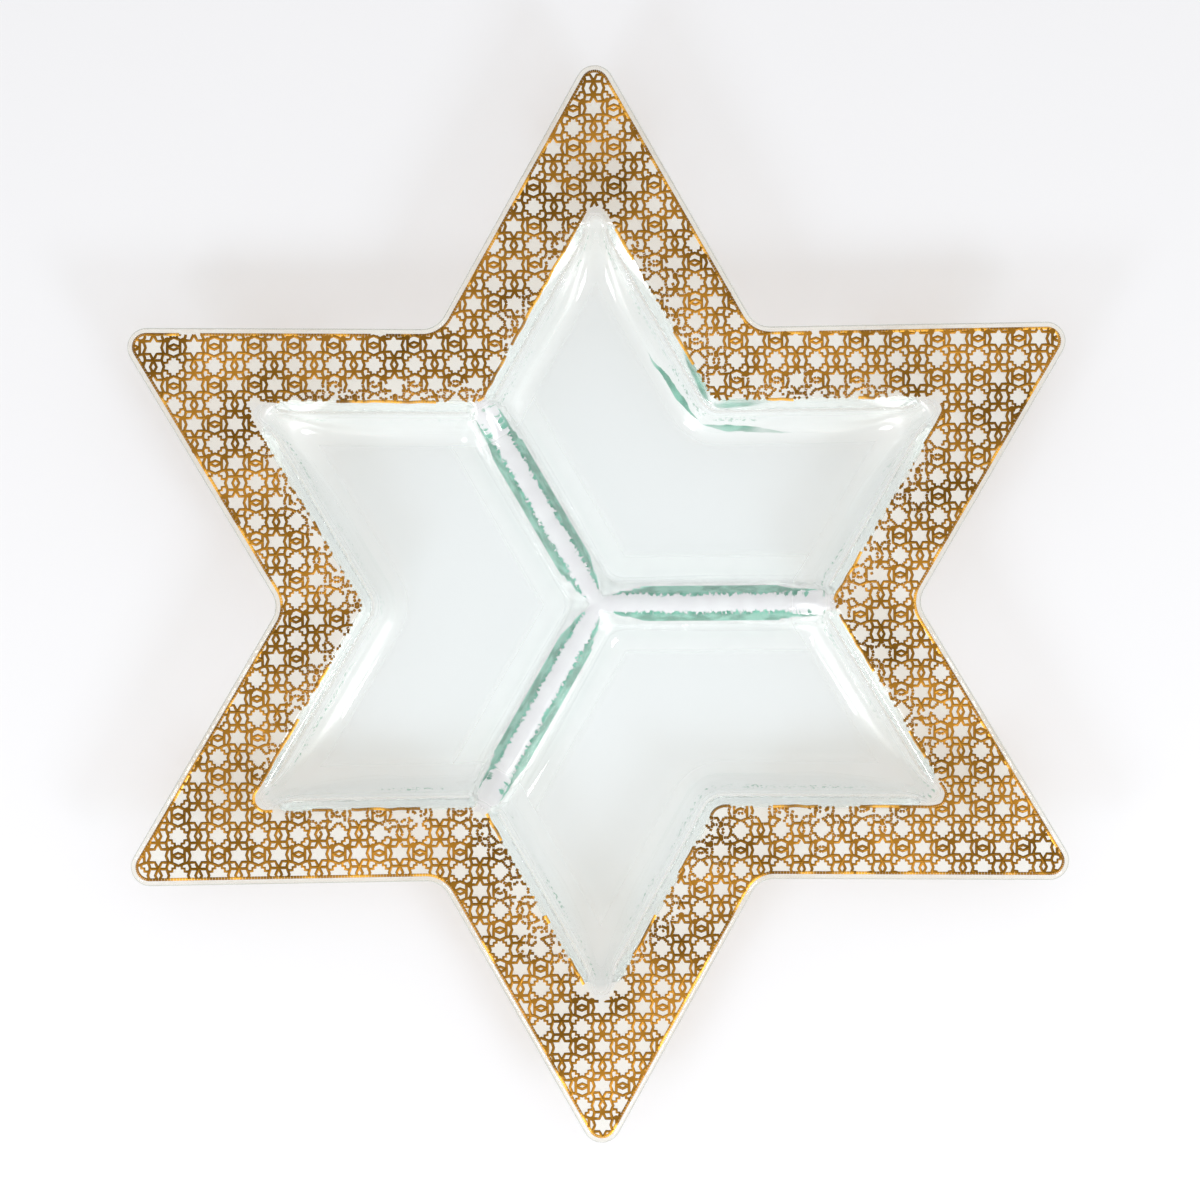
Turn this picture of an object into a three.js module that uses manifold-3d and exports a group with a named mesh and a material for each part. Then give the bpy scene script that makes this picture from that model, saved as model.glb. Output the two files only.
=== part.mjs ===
// A star platter: one sheet of glass cut as a six-pointed star and slumped over a mould, so that a flat
// rim stands round three wells, with a raised divider between each two wells. A gold lattice is fired
// onto the rim. Millimetres, +Z up. The origin is on the table under the middle of the star, +Y points
// at one tip and +X runs along one divider.

import * as THREE from 'three';
import { mergeGeometries, mergeVertices } from 'three/addons/utils/BufferGeometryUtils.js';
import Module from 'manifold-3d';

// Outline of the glass sheet, measured to the sharp corners before they are rounded
const tipRadius = 200;
const notchRadius = 114;
const tipRound = 7;
const notchRound = 9;

// The sheet, its rim and its fire-polished edge
const glass = 5;
const rimWidth = 26.5;
const rimEdgeRound = 2.2;

// The wells
const wellDepth = 21;
const wellTipRound = 4.5;
const wellNotchRound = 5;
const wallAngle = THREE.MathUtils.degToRad(70);
const wallTopRound = 3.5;
const wallFootRound = 5;
const wallBendUnder = 1.5;

// The dividers, and the hollow that the mould leaves under each
const dividerHeight = 14;
const dividerGlass = 4.5;
const dividerAngle = THREE.MathUtils.degToRad(62);
const dividerTopRound = 4.5;
const dividerFootRound = 12;
const hollowAngle = THREE.MathUtils.degToRad(80);
const hollowTopRound = 2.4;
const hollowFootRound = 3;
const dividerRise = 14;
const cornerRound = 5;
const hubRound = 5;

// The gold print: a film on the rim, pierced by six-pointed stars in a nearly square lattice
const printGap = 0.3;
const printFilm = 0.3;
const printBorder = 2.5;
const printInnerBorder = 0.3;
const printEdgeLine = 0.8;
const latticeX = 14.35;
const latticeY = 13.98;
const latticeShiftY = -4.5;
const starCellRadius = 4.1;

// Segments in each rounded stretch
const tipSteps = 6;
const notchSteps = 3;
const cornerSteps = 3;
const hubSteps = 3;
const convexSteps = 3;
const concaveSteps = 4;
const edgeSteps = 3;

// How far before the rim the points on a divider's side lie, as shares of dividerRise
const sideStations = [1.2, 0.8, 0.5, 0.25];

// Levels, rounds and angles that follow from the sizes. The star has twelve edges, one in each twelfth
// of a turn.
const edgeRound = Math.min(rimEdgeRound, 0.46 * glass);
const rimTop = glass + wellDepth;
const crestTop = glass + dividerHeight;
const twelfth = Math.PI / 6;
const tipHalfAngle = Math.atan2(
	notchRadius * Math.sin(twelfth),
	tipRadius - notchRadius * Math.cos(twelfth),
);
const notchHalfAngle = tipHalfAngle + twelfth;

// A point at a radius and an angle from the middle of the star.
function polar(radius, angle) {
	return new THREE.Vector2(radius * Math.cos(angle), radius * Math.sin(angle));
}

// The rounded corner between two straight lines, from its tangent point on the first line to the one on
// the second. The lines run from the corner towards the points before and after.
function fillet(corner, before, after, round, steps) {
	const back = before.clone().sub(corner).normalize();
	const ahead = after.clone().sub(corner).normalize();
	const half = Math.acos(THREE.MathUtils.clamp(back.dot(ahead), -1, 1)) / 2;
	const middle = back.clone().add(ahead).normalize();
	const centre = corner.clone().addScaledVector(middle, round / Math.sin(half));
	const first = corner.clone().addScaledVector(back, round / Math.tan(half)).sub(centre);
	const last = corner.clone().addScaledVector(ahead, round / Math.tan(half)).sub(centre);
	const turn = Math.atan2(first.cross(last), first.dot(last));
	const points = [];
	for (let i = 0; i <= steps; i++) {
		points.push(first.clone().rotateAround(new THREE.Vector2(), turn * i / steps).add(centre));
	}
	return points;
}

// The star is six like wedges, each the mirror image of the next. This is one of them, from a divider's
// notch at 0 degrees, round a tip at 30, to a plain notch at 60, at an inset from the glass outline.
function sharpWedge(inset) {
	const tip = tipRadius - inset / Math.sin(tipHalfAngle);
	const notch = notchRadius - inset / Math.sin(notchHalfAngle);
	return {
		tipBefore: polar(tip, -twelfth),
		dividerNotch: polar(notch, 0),
		tip: polar(tip, twelfth),
		plainNotch: polar(notch, 2 * twelfth),
		tipAfter: polar(tip, 3 * twelfth),
	};
}

// The outline of one wedge at an inset, with its tip and its notches rounded.
function rimWedge(inset, tipCurve, notchCurve) {
	const at = sharpWedge(inset);
	const start = fillet(at.dividerNotch, at.tipBefore, at.tip, notchCurve, 2 * cornerSteps);
	const tip = fillet(at.tip, at.dividerNotch, at.plainNotch, tipCurve, tipSteps);
	const end = fillet(at.plainNotch, at.tip, at.tipAfter, notchCurve, 2 * notchSteps);
	return [...start.slice(cornerSteps), ...tip, ...end.slice(0, notchSteps + 1)];
}

// An S-shaped slope between two level stretches: a convex arc, a straight and a concave arc.
function slope({ start, top, foot, angle, convex, concave }) {
	const straightDrop = top - foot - (convex + concave) * (1 - Math.cos(angle));
	const end = start + (convex + concave) * Math.sin(angle) + straightDrop / Math.tan(angle);
	const points = [];
	for (let i = 0; i <= convexSteps; i++) {
		const turn = angle * i / convexSteps;
		points.push({
			inset: start + convex * Math.sin(turn),
			height: top - convex * (1 - Math.cos(turn)),
		});
	}
	for (let i = concaveSteps; i >= 0; i--) {
		const turn = angle * i / concaveSteps;
		points.push({
			inset: end - concave * Math.sin(turn),
			height: foot + concave * (1 - Math.cos(turn)),
		});
	}
	return points;
}

// The slopes of the upper face and of the underside, down the wall and down the divider.
const upperWall = slope({
	start: 0,
	top: rimTop,
	foot: glass,
	angle: wallAngle,
	convex: wallTopRound,
	concave: wallFootRound,
});
const upperDivider = slope({
	start: 0,
	top: crestTop,
	foot: glass,
	angle: dividerAngle,
	convex: dividerTopRound,
	concave: dividerFootRound,
});
const lowerWall = slope({
	start: (wallTopRound - glass - wallBendUnder) * Math.tan(wallAngle / 2),
	top: rimTop - glass,
	foot: 0,
	angle: wallAngle,
	convex: wallBendUnder,
	concave: wallFootRound + glass,
});
const lowerDivider = slope({
	start: 0,
	top: crestTop - dividerGlass,
	foot: 0,
	angle: hollowAngle,
	convex: hollowTopRound,
	concave: hollowFootRound,
});

// How far a point lies inside the edge of the well, square to the straight edge of the wedge.
function insideWell(point) {
	const edge = sharpWedge(rimWidth).dividerNotch;
	const inward = polar(1, notchHalfAngle + Math.PI / 2);
	return point.clone().sub(edge).dot(inward);
}

// The height of a point on a loop round a well: the divider's height, rising to the wall's at the rim.
function loopHeight(point, wall, divider) {
	const along = (insideWell(point) - wall.inset) / dividerRise;
	const share = THREE.MathUtils.smoothstep(along, 0, 1);
	return THREE.MathUtils.lerp(wall.height, divider.height, share);
}

// Where the straight side of a divider at an inset meets the straight edge of the well at its own inset.
function cornerPoint(wallInset, dividerInset) {
	const notch = sharpWedge(rimWidth + wallInset).dividerNotch;
	return new THREE.Vector2(notch.x + dividerInset / Math.tan(notchHalfAngle), dividerInset);
}

// Points on a divider's side, closer together where it rises to the rim.
function dividerSide(hubEnd, rimEnd) {
	const length = rimEnd.x - hubEnd.x;
	return sideStations.map((station) => {
		const share = 1 - (station * dividerRise) / length;
		return hubEnd.clone().lerp(rimEnd, share);
	});
}

// One wedge's part of the loop round a well, from the hub along the divider, round the corner and the
// tip to the plain notch, as points with heights.
function wellLoop(wall, divider, extraRound) {
	const inset = divider.inset;
	const at = sharpWedge(rimWidth + wall.inset);
	const onEdge = inset === 0;
	const rimPart = rimWedge(rimWidth + wall.inset, wellTipRound + extraRound, wellNotchRound + wall.inset);
	const hub = polar(inset / Math.sin(2 * twelfth), 2 * twelfth);
	const hubArc = onEdge
		? Array.from({ length: hubSteps + 1 }, () => new THREE.Vector2())
		: fillet(
			hub,
			hub.clone().add(polar(1, 4 * twelfth)),
			hub.clone().add(polar(1, 0)),
			Math.min(hubRound + extraRound, 2 * inset),
			2 * hubSteps,
		).slice(hubSteps);
	const corner = cornerPoint(wall.inset, inset);
	const cornerArc = onEdge
		? rimPart.slice(0, cornerSteps + 1)
		: fillet(corner, hub, at.tip, Math.min(cornerRound + extraRound, 2 * inset), cornerSteps);
	const side = dividerSide(hubArc[hubArc.length - 1], cornerArc[0]);
	const risen = [...hubArc, ...side, ...cornerArc].map(
		(point) => new THREE.Vector3(point.x, point.y, loopHeight(point, wall, divider)),
	);
	const level = rimPart.slice(cornerSteps + 1).map(
		(point) => new THREE.Vector3(point.x, point.y, wall.height),
	);
	return [...risen, ...level];
}

// One wedge's part of a level loop round the rim.
function rimLoop(inset, height, tipCurve, notchCurve) {
	return rimWedge(inset, tipCurve, notchCurve).map(
		(point) => new THREE.Vector3(point.x, point.y, height),
	);
}

// The loops over the fire-polished edge, from the upper face round to the underside.
function edgeLoops() {
	const loops = [];
	for (let i = 0; i <= edgeSteps; i++) {
		const turn = (Math.PI / 2) * (i / edgeSteps);
		loops.push([edgeRound * (1 - Math.sin(turn)), rimTop - edgeRound * (1 - Math.cos(turn))]);
	}
	for (let i = 0; i <= edgeSteps; i++) {
		const turn = (Math.PI / 2) * (i / edgeSteps);
		const height = rimTop - glass + edgeRound * (1 - Math.sin(turn));
		loops.push([edgeRound * (1 - Math.cos(turn)), height]);
	}
	return loops.map(([inset, height]) => rimLoop(inset, height, tipRound - inset, notchRound + inset));
}

// Triangles between two loops with as many points each, facing left of the first loop's direction.
function strip(outer, inner) {
	const faces = [];
	for (let i = 0; i + 1 < outer.length; i++) {
		faces.push([outer[i], outer[i + 1], inner[i + 1]]);
		faces.push([outer[i], inner[i + 1], inner[i]]);
	}
	return faces;
}

// The flat floor inside one wedge's loop, closed along the wedge's mirror plane.
function floor(loop) {
	const flat = loop.map((point) => new THREE.Vector2(point.x, point.y));
	return THREE.ShapeUtils.triangulateShape(flat, []).map((face) => face.map((i) => loop[i]));
}

// The same triangles, facing the other way.
function turned(faces) {
	return faces.map(([a, b, c]) => [a, c, b]);
}

// The triangles of the glass in one wedge: wells, rim, edge, underside and the hollow of the divider.
function glassWedge() {
	const upper = upperWall.map((wall, i) => wellLoop(wall, upperDivider[i], 0));
	const lower = lowerWall.map((wall, i) => wellLoop(wall, lowerDivider[i], glass));
	const rimStart = hubSteps + 1 + sideStations.length;
	const edge = edgeLoops();
	const around = [upper[0].slice(rimStart), ...edge, lower[0].slice(rimStart)];
	const faces = [];
	for (let i = 0; i + 1 < upper.length; i++) {
		faces.push(...strip(upper[i], upper[i + 1]));
	}
	faces.push(...floor(upper[upper.length - 1]));
	for (let i = 0; i + 1 < around.length; i++) {
		faces.push(...strip(around[i + 1], around[i]));
	}
	for (let i = 0; i + 1 < lower.length; i++) {
		faces.push(...turned(strip(lower[i], lower[i + 1])));
	}
	faces.push(...turned(floor(lower[lower.length - 1])));
	return faces;
}

// The whole platter from one wedge: three turns of the wedge and of its mirror image.
function glassGeometry() {
	const wedge = glassWedge();
	const mirrored = turned(wedge.map((face) => face.map((p) => new THREE.Vector3(p.x, -p.y, p.z))));
	const faces = [];
	for (let third = 0; third < 3; third++) {
		const turn = third * 4 * twelfth;
		const axis = new THREE.Vector3(0, 0, 1);
		for (const face of [...wedge, ...mirrored]) {
			faces.push(face.map((p) => p.clone().applyAxisAngle(axis, turn)));
		}
	}
	return closedGeometry(faces);
}

// A geometry of the faces, with shared corners merged and faces without area left out.
function closedGeometry(faces) {
	const loose = new THREE.BufferGeometry().setFromPoints(faces.flat());
	const merged = mergeVertices(loose, 1e-4);
	const index = merged.getIndex();
	const kept = [];
	for (let i = 0; i < index.count; i += 3) {
		const [a, b, c] = [index.getX(i), index.getX(i + 1), index.getX(i + 2)];
		if (a !== b && b !== c && c !== a) {
			kept.push(a, b, c);
		}
	}
	merged.setIndex(kept);
	merged.computeVertexNormals();
	return merged;
}

// A closed outline of the whole star from its wedges.
function starOutline(inset, tipCurve, notchCurve) {
	const wedge = rimWedge(inset, tipCurve, notchCurve);
	const mirror = wedge.slice(1, -1).reverse().map((p) => new THREE.Vector2(p.x, -p.y));
	const points = [];
	for (let third = 0; third < 3; third++) {
		const turn = third * 4 * twelfth;
		for (const point of [...mirror, ...wedge]) {
			points.push(point.clone().rotateAround(new THREE.Vector2(), turn));
		}
	}
	return points;
}

// A flat plate on the rim between two insets from the glass outline.
function rimPlate(outerInset, innerInset, bottom, thickness) {
	const shape = new THREE.Shape(starOutline(outerInset, tipRound - outerInset, notchRound + outerInset));
	const wellCurve = wellNotchRound + innerInset - rimWidth;
	shape.holes.push(new THREE.Path(starOutline(innerInset, wellTipRound, wellCurve)));
	const plate = new THREE.ExtrudeGeometry(shape, { depth: thickness, bevelEnabled: false });
	return plate.translate(0, 0, bottom);
}

// The outline of a star cell: six points at its radius, with one of them up, and the notches between.
function starCell() {
	const points = [];
	for (let i = 0; i < 12; i++) {
		const radius = i % 2 === 0 ? starCellRadius : starCellRadius / Math.sqrt(3);
		points.push(polar(radius, Math.PI / 2 + i * twelfth));
	}
	return new THREE.Shape(points);
}

// How far a point lies inside the glass outline, by folding it into one wedge.
function insideOutline(x, y) {
	const sector = 2 * twelfth;
	const angle = Math.atan2(y, x);
	const folded = Math.abs(angle - sector * Math.round(angle / sector));
	const point = polar(Math.hypot(x, y), folded);
	const notch = sharpWedge(0).dividerNotch;
	return point.sub(notch).dot(polar(1, notchHalfAngle + Math.PI / 2));
}

// Prisms through the film for all the star cells whose centres lie well on the print.
function cellPrisms() {
	const shape = starCell();
	const margin = starCellRadius / 4;
	const prisms = [];
	const reach = Math.ceil(tipRadius / latticeY) + 1;
	for (let column = -reach; column <= reach; column++) {
		for (let row = -reach; row <= reach; row++) {
			const x = column * latticeX;
			const y = row * latticeY + latticeShiftY;
			const inset = insideOutline(x, y);
			if (inset > printBorder + margin && inset < rimWidth - printInnerBorder - margin) {
				const prism = new THREE.ExtrudeGeometry(shape, { depth: 5 * printFilm, bevelEnabled: false });
				prisms.push(prism.translate(x, y, rimTop + printGap - 2 * printFilm));
			}
		}
	}
	return prisms;
}

// The gold film: a plate pierced by the cells, with an unbroken line left along both of its edges.
async function printGeometry() {
	const wasm = await Module();
	wasm.setup();
	const solid = (geometry) => {
		const bare = geometry.clone();
		bare.deleteAttribute('normal');
		bare.deleteAttribute('uv');
		const merged = mergeVertices(bare, 1e-4);
		return new wasm.Manifold(new wasm.Mesh({
			numProp: 3,
			vertProperties: new Float32Array(merged.getAttribute('position').array),
			triVerts: new Uint32Array(merged.getIndex().array),
		}));
	};
	const bottom = rimTop + printGap;
	const inner = rimWidth - printInnerBorder;
	const plate = solid(rimPlate(printBorder, inner, bottom, printFilm));
	const field = solid(rimPlate(
		printBorder + printEdgeLine,
		inner - printEdgeLine,
		bottom - printFilm,
		3 * printFilm,
	));
	const film = plate.subtract(solid(mergeGeometries(cellPrisms())).intersect(field));
	const mesh = film.getMesh();
	const geometry = new THREE.BufferGeometry();
	geometry.setAttribute('position', new THREE.BufferAttribute(mesh.vertProperties, 3));
	geometry.setIndex(new THREE.BufferAttribute(mesh.triVerts, 1));
	geometry.computeVertexNormals();
	return geometry;
}

// A named mesh with its own material.
function part(name, geometry, settings) {
	const mesh = new THREE.Mesh(geometry, new THREE.MeshStandardMaterial(settings));
	mesh.name = name;
	return mesh;
}

const group = new THREE.Group();
group.add(part('glass_platter', glassGeometry(), {
	color: '#dce6e0',
	roughness: 0.06,
	metalness: 0,
	transparent: true,
	opacity: 0.45,
}));
group.add(part('gold_print', await printGeometry(), {
	color: '#a8702c',
	roughness: 0.35,
	metalness: 1,
}));

export default group;
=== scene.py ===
# A star platter: a sheet of glass slumped over a mould into three wells with a raised divider between
# each two, and a gold lattice fired onto its flat rim. It stands on a pale table in soft light. Metres.

import math
import random

import bmesh
import bpy
import numpy
from mathutils import Matrix, Vector, noise
from mathutils.geometry import delaunay_2d_cdt


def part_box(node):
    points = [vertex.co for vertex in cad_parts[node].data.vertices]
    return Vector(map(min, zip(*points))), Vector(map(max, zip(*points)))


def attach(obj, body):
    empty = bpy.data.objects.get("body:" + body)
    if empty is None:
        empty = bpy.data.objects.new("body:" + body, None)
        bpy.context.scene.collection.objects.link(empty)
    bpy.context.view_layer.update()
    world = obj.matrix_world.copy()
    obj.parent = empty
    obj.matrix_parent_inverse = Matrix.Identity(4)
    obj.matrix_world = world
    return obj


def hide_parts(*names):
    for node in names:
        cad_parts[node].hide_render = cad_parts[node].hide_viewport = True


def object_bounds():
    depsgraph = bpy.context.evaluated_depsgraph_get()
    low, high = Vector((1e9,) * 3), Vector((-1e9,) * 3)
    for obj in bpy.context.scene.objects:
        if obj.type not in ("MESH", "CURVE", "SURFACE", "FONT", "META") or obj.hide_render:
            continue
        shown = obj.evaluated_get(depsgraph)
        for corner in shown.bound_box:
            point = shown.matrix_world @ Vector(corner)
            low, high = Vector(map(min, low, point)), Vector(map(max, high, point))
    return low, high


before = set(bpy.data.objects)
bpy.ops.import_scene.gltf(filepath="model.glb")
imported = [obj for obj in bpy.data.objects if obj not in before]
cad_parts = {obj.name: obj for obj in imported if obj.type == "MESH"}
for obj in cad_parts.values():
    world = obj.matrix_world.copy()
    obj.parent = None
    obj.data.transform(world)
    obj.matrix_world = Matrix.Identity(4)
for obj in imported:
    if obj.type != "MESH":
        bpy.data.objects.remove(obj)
CAD_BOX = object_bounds()

MM = 0.001

# Outline of the glass sheet, to its sharp corners before they are rounded
TIP_RADIUS = 200 * MM
NOTCH_RADIUS = 114 * MM
TIP_ROUND = 7 * MM
NOTCH_ROUND = 9 * MM

# The sheet, its rim and its fire-polished edge
GLASS = 5 * MM
RIM_WIDTH = 26.5 * MM
EDGE_ROUND = 2.2 * MM
RIM_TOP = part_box("glass_platter")[1].z

# The wells and their walls
WELL_TIP_ROUND = 4.5 * MM
WELL_NOTCH_ROUND = 5 * MM
WALL_ANGLE = math.radians(70)
WALL_TOP_ROUND = 3.5 * MM
WALL_FOOT_ROUND = 9 * MM
WALL_BEND_UNDER = 1.5 * MM

# In the wells' tips the sheet doesn't reach down to the mould's floor, and slopes up to the rim instead
TIP_SLOPE_START = 111 * MM
TIP_SLOPE_ANGLE = math.radians(28)
TIP_SLOPE_BLEND = 7 * MM
TIP_SLOPE_EDGE = 4 * MM

# How uneven the slumped sheet is, how rough the face that lay on the mould, and below which height that
# face is flat on the mould
WAVE_HEIGHT = 0.05 * MM
WAVE_LENGTH = 40 * MM
MOULD_GRAIN = 4 * MM
MOULD_ROUGHNESS = 0.02 * MM
HOLLOW_ROUGHNESS = 0.03 * MM
MOULD_SEED = 5
ON_MOULD = 0.01 * MM

# The dividers and the hollow that the mould leaves under each
CREST_TOP = GLASS + 14 * MM
CREST_GLASS = 4.5 * MM
DIVIDER_ANGLE = math.radians(62)
DIVIDER_TOP_ROUND = 4.5 * MM
DIVIDER_FOOT_ROUND = 12 * MM
HOLLOW_ANGLE = math.radians(80)
HOLLOW_TOP_ROUND = 2.4 * MM
HOLLOW_FOOT_ROUND = 3 * MM
HOLLOW_REACH = 8 * MM
BAND_START = 3 * MM
BAND_END = 78.5 * MM
BAND_TAPER = 18 * MM
BAND_EDGE = 0.06
BAND_LOW_AT_ENDS = 0.92
BAND_GROWTH = 0.54
DIVIDER_RISE = 14 * MM
CORNER_ROUND = 5 * MM
HUB_ROUND = 9 * MM

# The gold print: its lattice, its strokes and where it ends on the rim
PITCH_X = 14.35 * MM
PITCH_Y = 13.98 * MM
ROW_SHIFT = -4.5 * MM
PRINT_TURN = math.radians(0.16)
PRINT_BORDER = 2.5 * MM
PRINT_INNER_BORDER = 0.3 * MM
STROKE = 1.04 * MM
JOINT_RADIUS = 1.1 * MM
FILM = 0.06 * MM
PIECE_LENGTH = 1.4 * MM
DRIFT = 1.6 * MM
COLUMNS = 25
ROWS = 29

# Where the print breaks up near the wells, which it doesn't do at their tips, and into what
CRACK_REACH = 19 * MM
CRACK_PATCH = 16 * MM
WELL_TIP = TIP_RADIUS - 52 * MM
TIP_CLEAR = 8 * MM
TIP_FADE = 26 * MM
BROKEN_SHARE = 0.8
LOST_SHARE = 0.2
DASH_GAP = 0.16
DASH_WIDTHS = (0.6, 0.9)
SHORTEST_STUB = 0.15

# The thin line along each of the print's borders
BORDER_PIECE = 1.2 * MM
BORDER_PIECE_SHARE = 0.93
BORDER_PATCH = 17 * MM
SCALLOP_LENGTH = 4 * MM
SCALLOP = 0.6 * MM

# How often light turns inside the glass before it gets out
RAY_DEPTH = 3.5

# What is written on the glass's points for its material: the mould's face, the hollows' dark bands and
# the distances to a divider's middle line, into a well and in from the platter's border
GLASS_MARKS = ("mould", "ridge", "across", "inset", "border")

# The painted reflection streaks that run past the upper right notch: how far out they start, how much
# further out they get on the way, and how long they are
STREAK_RADIUS = 77.9 * MM
STREAK_SLANT = 0.40
STREAK_LENGTH = 34 * MM
STREAK_WIDTH = 2.0 * MM
STREAK_EDGE = 0.55 * MM

# The table, the room's light and the two lamps
TABLE_HALF = 3.0
TABLE_DROP = 0.05 * MM
ROOM_LIGHT = 0.76
LAMP_SIDE = 0.36
LAMP_ASIDE = 0.785
LAMP_FRONT = 0.85
LAMP_HEIGHT = 0.785
LAMP_ENERGY = {"right_lamp": 5.6, "left_lamp": 4.9}
GLOSS_BOOST = 1.2

# What the camera sees: how wide a stretch at the rim's height, round which place and how far turned
VIEW_WIDTH = 428.4 * MM
VIEW_X = 0.64 * MM
VIEW_Y = 1.4 * MM
VIEW_TURN = -math.radians(0.4)
LENS = 85
SENSOR = 36

# Twelve edges, one in each twelfth of a turn
TWELFTH = math.pi / 6
TIP_HALF_ANGLE = math.atan2(
    NOTCH_RADIUS * math.sin(TWELFTH), TIP_RADIUS - NOTCH_RADIUS * math.cos(TWELFTH)
)
NOTCH_HALF_ANGLE = TIP_HALF_ANGLE + TWELFTH

# Points along each rounded stretch
TIP_STEPS = 14
NOTCH_STEPS = 6
CORNER_STEPS = 7
HUB_STEPS = 8
SLOPE_ARC_STEPS = 12
SLOPE_STRAIGHT_STEPS = 3
EDGE_STEPS = 5
SIDE_STEPS = 34
ARM_STEPS = 22
RIM_STEPS = 5

# Points nearer than this are one and the same, or are joined in the glass and in the lattice
SAME_PLACE = 1e-7
WELD = 0.002 * MM
JOIN = 0.02 * MM


def polar(radius, angle):
    """A point at a radius and an angle from the middle of the star."""
    return Vector((radius * math.cos(angle), radius * math.sin(angle)))


def turned(point, angle):
    """A point turned about the middle of the star."""
    cos, sin = math.cos(angle), math.sin(angle)
    return Vector((cos * point.x - sin * point.y, sin * point.x + cos * point.y))


def fillet(corner, before, after, radius, steps):
    """The rounded corner between two straight lines that run from it towards before and after."""
    back = (before - corner).normalized()
    ahead = (after - corner).normalized()
    half = back.angle(ahead) / 2
    centre = corner + (back + ahead).normalized() * (radius / math.sin(half))
    first = corner + back * (radius / math.tan(half)) - centre
    last = corner + ahead * (radius / math.tan(half)) - centre
    turn = math.atan2(first.cross(last), first.dot(last))
    return [centre + turned(first, turn * i / steps) for i in range(steps + 1)]


def between(a, b, count):
    """Points evenly between two points, without either end."""
    return [a.lerp(b, i / (count + 1)) for i in range(1, count + 1)]


def sharp_wedge(inset):
    """The corners of one wedge of the star: a divider's notch at 0 degrees, a tip at 30, a notch at 60."""
    tip = TIP_RADIUS - inset / math.sin(TIP_HALF_ANGLE)
    notch = NOTCH_RADIUS - inset / math.sin(NOTCH_HALF_ANGLE)
    return {
        "tip_before": polar(tip, -TWELFTH),
        "divider_notch": polar(notch, 0),
        "tip": polar(tip, TWELFTH),
        "plain_notch": polar(notch, 2 * TWELFTH),
        "tip_after": polar(tip, 3 * TWELFTH),
    }


def rim_wedge(inset, tip_curve, notch_curve):
    """The outline of one wedge at an inset, with its tip and notches rounded."""
    at = sharp_wedge(inset)
    start = fillet(at["divider_notch"], at["tip_before"], at["tip"], notch_curve, 2 * CORNER_STEPS)
    tip = fillet(at["tip"], at["divider_notch"], at["plain_notch"], tip_curve, TIP_STEPS)
    end = fillet(at["plain_notch"], at["tip"], at["tip_after"], notch_curve, 2 * NOTCH_STEPS)
    start, end = start[CORNER_STEPS:], end[: NOTCH_STEPS + 1]
    first_arm = between(start[-1], tip[0], ARM_STEPS)
    second_arm = between(tip[-1], end[0], ARM_STEPS)
    return start + first_arm + tip + second_arm + end


def star_outline(inset, tip_curve, notch_curve):
    """The closed outline of the whole star at an inset."""
    wedge = rim_wedge(inset, tip_curve, notch_curve)
    mirror = [Vector((p.x, -p.y)) for p in reversed(wedge[1:-1])]
    return [turned(p, third * 4 * TWELFTH) for third in range(3) for p in mirror + wedge]


def slope(start, top, foot, angle, convex, concave):
    """An S-shaped slope as (inset, height) pairs: a convex arc, a straight and a concave arc."""
    straight_drop = top - foot - (convex + concave) * (1 - math.cos(angle))
    end = start + (convex + concave) * math.sin(angle) + straight_drop / math.tan(angle)
    points = []
    for i in range(SLOPE_ARC_STEPS + 1):
        turn = angle * i / SLOPE_ARC_STEPS
        points.append((start + convex * math.sin(turn), top - convex * (1 - math.cos(turn))))
    lower = []
    for i in range(SLOPE_ARC_STEPS, -1, -1):
        turn = angle * i / SLOPE_ARC_STEPS
        lower.append((end - concave * math.sin(turn), foot + concave * (1 - math.cos(turn))))
    straight = between(Vector(points[-1]), Vector(lower[0]), SLOPE_STRAIGHT_STEPS)
    return points + [tuple(p) for p in straight] + lower


UPPER_WALL = slope(0, RIM_TOP, GLASS, WALL_ANGLE, WALL_TOP_ROUND, WALL_FOOT_ROUND)
UPPER_DIVIDER = slope(0, CREST_TOP, GLASS, DIVIDER_ANGLE, DIVIDER_TOP_ROUND, DIVIDER_FOOT_ROUND)
LOWER_WALL = slope(
    (WALL_TOP_ROUND - GLASS - WALL_BEND_UNDER) * math.tan(WALL_ANGLE / 2),
    RIM_TOP - GLASS, 0, WALL_ANGLE, WALL_BEND_UNDER, WALL_FOOT_ROUND + GLASS,
)
LOWER_DIVIDER = slope(
    0, CREST_TOP - CREST_GLASS, 0, HOLLOW_ANGLE, HOLLOW_TOP_ROUND, HOLLOW_FOOT_ROUND
)


def smooth(share):
    """A smooth step from 0 to 1."""
    t = min(max(share, 0), 1)
    return t * t * (3 - 2 * t)


def loop_height(point, wall, divider):
    """A divider's height, rising to the wall's height towards the rim."""
    edge = sharp_wedge(RIM_WIDTH)["divider_notch"]
    inside = (point - edge).dot(polar(1, NOTCH_HALF_ANGLE + math.pi / 2))
    share = smooth((inside - wall[0]) / DIVIDER_RISE)
    return wall[1] + (divider[1] - wall[1]) * share


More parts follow.
